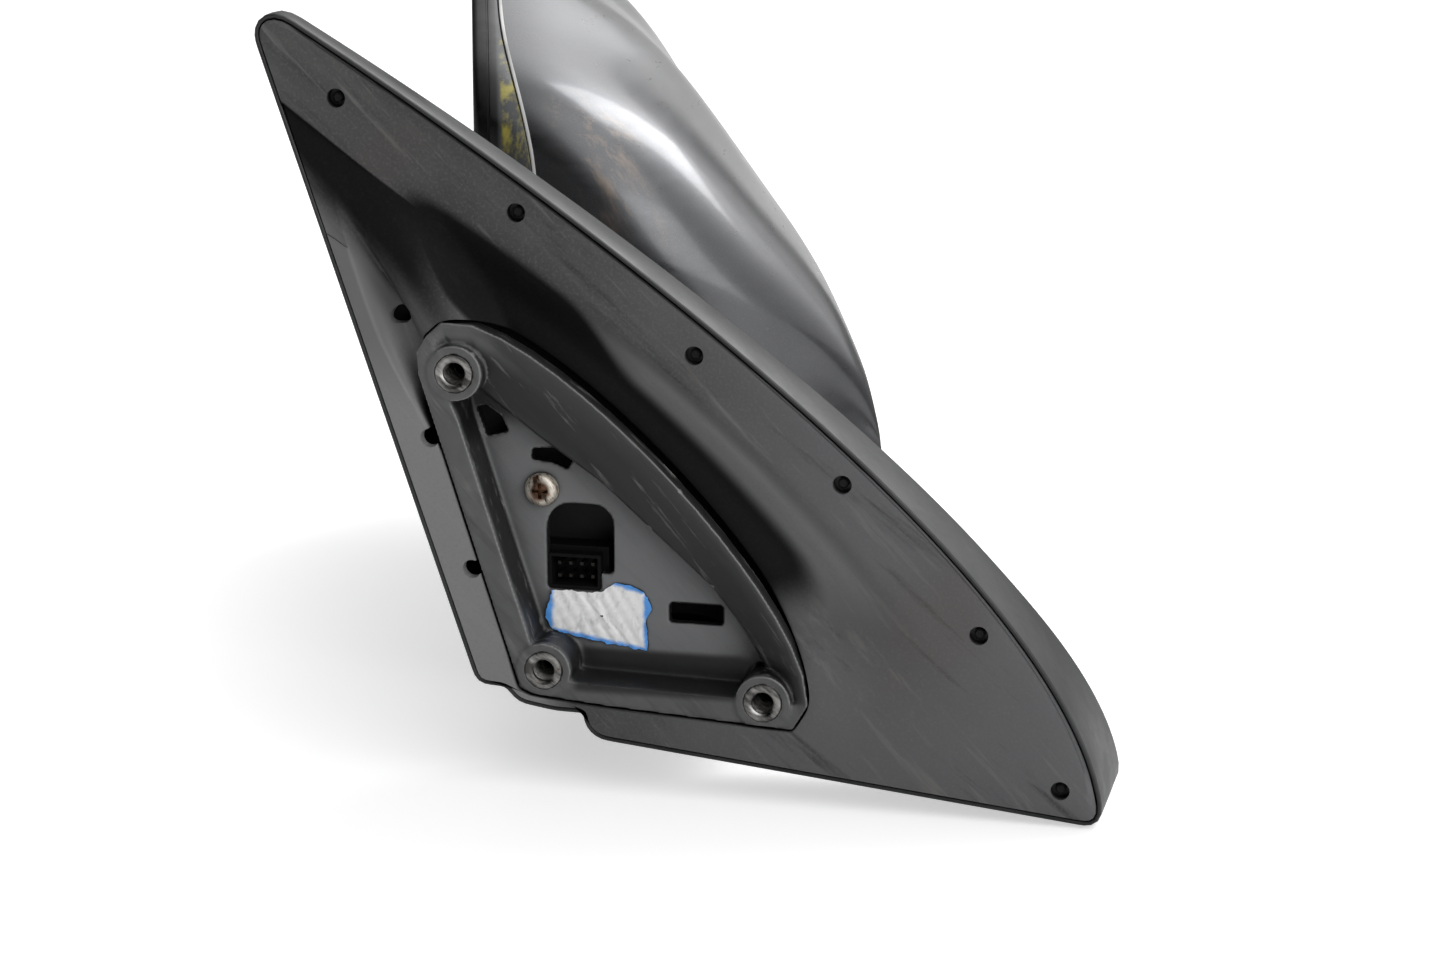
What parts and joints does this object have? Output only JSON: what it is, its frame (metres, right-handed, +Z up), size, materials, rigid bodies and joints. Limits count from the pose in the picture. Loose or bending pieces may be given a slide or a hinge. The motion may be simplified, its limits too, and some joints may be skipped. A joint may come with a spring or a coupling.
{
  "type": "car side mirror",
  "caption": "Folding left door mirror: sail base with gasket and cast bracket, pivoting glossy head, motor-tilted convex glass.",
  "frame": {"origin": "mouth of the rear lower threaded fixing, in the plane of the door flange", "axes": "+X forward on the car, +Y outboard away from the door, +Z up"},
  "size_m": [0.2309, 0.2803, 0.1886],
  "materials": {
    "gasket": "matt moulded rubber, scuffed",
    "base_plastic": "satin moulded black",
    "bracket_metal": "die-cast, satin black coating",
    "insert_steel": "plated steel",
    "rusted_screw": "steel with surface rust",
    "connector_plastic": "moulded black",
    "pin_metal": "tinned",
    "pivot_steel": "zinc plated",
    "spring_steel": "oiled spring steel",
    "cap_paint": "black clear-coated paint on plastic",
    "housing_plastic": "grained black",
    "frame_plastic": "satin black",
    "carrier_plastic": "glass-filled black",
    "bush_plastic": "natural acetal",
    "actuator_plastic": "moulded black",
    "motor_steel": "drawn can",
    "gear_plastic": "natural acetal",
    "heater_foil": "printed film",
    "mirror": "convex silvered glass"
  },
  "bodies": {
    "base": {"base_gasket": "gasket", "base_cover": "base_plastic", "mount_bracket": "bracket_metal", "fixing_insert_top": "insert_steel", "fixing_insert_rear": "insert_steel", "fixing_insert_front": "insert_steel", "cover_screw": "rusted_screw", "connector_housing": "connector_plastic", "connector_pins": "pin_metal", "pivot_tube": "pivot_steel", "fold_stop_ring": "pivot_steel", "fold_spring": "spring_steel", "spring_seat_washer": "pivot_steel", "spring_cap": "pivot_steel", "retaining_ring": "spring_steel"},
    "head": {"head_cap": "cap_paint", "lower_housing": "housing_plastic", "bezel_frame": "frame_plastic", "head_frame": "carrier_plastic", "fold_cam_ring": "pivot_steel", "pivot_bush": "bush_plastic", "actuator_front_shell": "actuator_plastic", "actuator_rear_shell": "actuator_plastic", "actuator_screws": "insert_steel", "frame_screws": "insert_steel", "motor_tilt": "motor_steel", "motor_pan": "motor_steel"},
    "gimbal": {"gimbal_ring": "gear_plastic"},
    "glass": {"glass_holder": "carrier_plastic", "glass_heater": "heater_foil", "mirror_glass": "mirror"},
    "jack_tilt": {"jack_screw_tilt": "gear_plastic"},
    "jack_pan": {"jack_screw_pan": "gear_plastic"},
    "wheel_tilt": {"drive_wheel_tilt": "gear_plastic"},
    "wheel_pan": {"drive_wheel_pan": "gear_plastic"},
    "worm_shaft_tilt": {"worm_tilt": "gear_plastic"},
    "worm_shaft_pan": {"worm_pan": "gear_plastic"}
  },
  "joints": [
    {"name": "head_fold", "type": "hinge", "parent": "base", "child": "head", "pos_m": [0.018, 0.08, 0.02], "axis": [0, 0, 1], "range_deg": [-50, 65]},
    {"name": "glass_pan", "type": "hinge", "parent": "head", "child": "gimbal", "pos_m": [-0.04046, 0.16415, 0.069], "axis": [0, 0, 1], "range_deg": [-6, 6]},
    {"name": "glass_tilt", "type": "hinge", "parent": "gimbal", "child": "glass", "pos_m": [-0.04046, 0.16415, 0.069], "axis": [-0.2756, 0.9613, 0], "range_deg": [-6, 6]},
    {"name": "tilt_jack_slide", "type": "slide", "parent": "head", "child": "jack_tilt", "axis": [0.9613, 0.2756, 0], "range_m": [-0.00315, 0.00315]},
    {"name": "pan_jack_slide", "type": "slide", "parent": "head", "child": "jack_pan", "axis": [-0.9613, -0.2756, 0], "range_m": [-0.00315, 0.00315]},
    {"name": "tilt_wheel_turn", "type": "hinge", "parent": "head", "child": "wheel_tilt", "pos_m": [-0.02239, 0.16933, 0.099], "axis": [0.9613, 0.2756, 0], "range_deg": [-188.6, 188.6]},
    {"name": "pan_wheel_turn", "type": "hinge", "parent": "head", "child": "wheel_pan", "pos_m": [-0.03066, 0.19817, 0.069], "axis": [-0.9613, -0.2756, 0], "range_deg": [-188.6, 188.6]},
    {"name": "tilt_worm_turn", "type": "hinge", "parent": "head", "child": "worm_shaft_tilt", "pos_m": [-0.02239, 0.16933, 0.09084], "axis": [-0.2756, 0.9613, 0], "range_deg": [-3017, 3017]},
    {"name": "pan_worm_turn", "type": "hinge", "parent": "head", "child": "worm_shaft_pan", "pos_m": [-0.02841, 0.19032, 0.069], "axis": [0, 0, 1], "range_deg": [-3017, 3017]}
  ],
  "couplings": [
    {"joint": "tilt_jack_slide", "follows": "glass_tilt", "m_per_rad": 0.03},
    {"joint": "pan_jack_slide", "follows": "glass_pan", "m_per_rad": 0.03},
    {"joint": "tilt_wheel_turn", "follows": "glass_tilt", "ratio": 31.416},
    {"joint": "pan_wheel_turn", "follows": "glass_pan", "ratio": 31.416},
    {"joint": "tilt_worm_turn", "follows": "glass_tilt", "ratio": -502.65},
    {"joint": "pan_worm_turn", "follows": "glass_pan", "ratio": -502.65}
  ]
}
